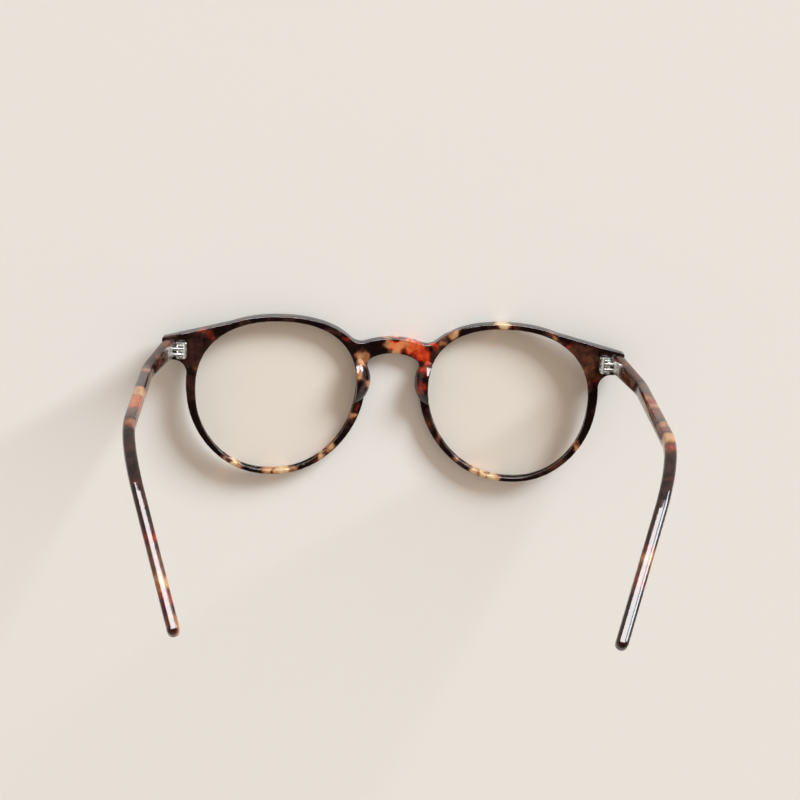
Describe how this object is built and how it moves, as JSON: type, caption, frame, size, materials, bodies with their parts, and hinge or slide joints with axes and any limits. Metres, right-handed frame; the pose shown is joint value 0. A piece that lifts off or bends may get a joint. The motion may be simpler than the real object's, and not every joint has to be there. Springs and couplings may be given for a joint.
{
  "type": "panto glasses",
  "caption": "Round panto glasses with an acetate front, keyhole bridge, clear lenses, nose pads and temples that fold on five-barrel hinges.",
  "frame": {"origin": "middle of the bridge, on the plane that the front rests on", "axes": "+X towards the wearer's right as the picture shows it, +Y towards the brow, +Z from the outer face towards the wearer, along the open temples"},
  "size_m": [0.1468, 0.0559, 0.1282],
  "materials": {
    "acetate": "tumbled and polished tortoiseshell acetate",
    "lens": "clear, polished",
    "steel": "satin nickel silver"
  },
  "bodies": {
    "front": {"front": "acetate", "lens_left": "lens", "lens_right": "lens", "nose_pad_left": "acetate", "nose_pad_right": "acetate", "front_hinge_left": "steel", "front_hinge_right": "steel", "hinge_screw_left": "steel", "hinge_screw_right": "steel"},
    "temple_left": {"temple_left": "acetate", "core_wire_left": "steel", "temple_hinge_left": "steel"},
    "temple_right": {"temple_right": "acetate", "core_wire_right": "steel", "temple_hinge_right": "steel"}
  },
  "joints": [
    {"name": "fold_left", "type": "hinge", "parent": "front", "child": "temple_left", "pos_m": [-0.0635, -0.00265, 0.0091], "axis": [0, 1, 0], "range_deg": [0, 88]},
    {"name": "fold_right", "type": "hinge", "parent": "front", "child": "temple_right", "pos_m": [0.0635, -0.00265, 0.0091], "axis": [0, -1, 0], "range_deg": [0, 82]}
  ]
}
